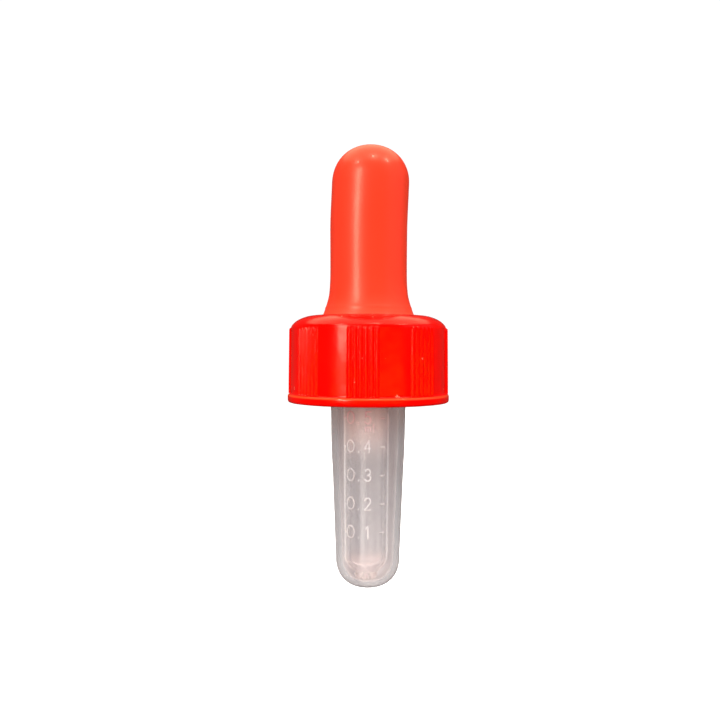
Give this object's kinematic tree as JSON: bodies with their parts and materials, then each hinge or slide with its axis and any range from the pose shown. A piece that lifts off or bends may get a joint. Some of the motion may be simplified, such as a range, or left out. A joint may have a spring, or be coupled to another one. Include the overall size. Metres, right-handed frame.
{
  "type": "medicine dropper",
  "caption": "Screw-cap medicine dropper: a soft squeeze bulb, a ribbed screw cap, a graduated pipette and a push-on sheath over it.",
  "frame": {"origin": "on the dropper's axis, on the underside of the pipette's flange, the face that seats on the bottle's neck", "axes": "+Z along the axis from the pipette's tip to the bulb's crown; -Y is the side with the numbered scale; +X is to the right when the scale is read"},
  "size_m": [0.0254, 0.0254, 0.0699],
  "materials": {
    "red_plastic": "glossy moulded polypropylene, opaque red",
    "coral_rubber": "soft semi-gloss moulded rubber, coral red",
    "pipette_plastic": "natural translucent polypropylene with a raised scale",
    "sheath_plastic": "natural translucent polypropylene, smooth"
  },
  "bodies": {
    "cap": {"screw_cap": "red_plastic"},
    "pipette": {"pipette": "pipette_plastic"},
    "bulb": {"bulb": "coral_rubber"},
    "sheath": {"sheath": "sheath_plastic"}
  },
  "joints": [
    {"name": "pipette_turn", "type": "hinge", "parent": "cap", "child": "pipette", "pos_m": [0, 0, 0], "axis": [0, 0, 1], "continuous": true},
    {"name": "sheath_pull", "type": "slide", "parent": "pipette", "child": "sheath", "axis": [0, 0, -1], "range_m": [0, 0.04]},
    {"name": "bulb_pinch", "type": "slide", "parent": "pipette", "child": "bulb", "axis": [0, 1, 0], "range_m": [0, 0.0035], "stiffness_N_per_m": 400, "deforming": ["bulb"]}
  ]
}
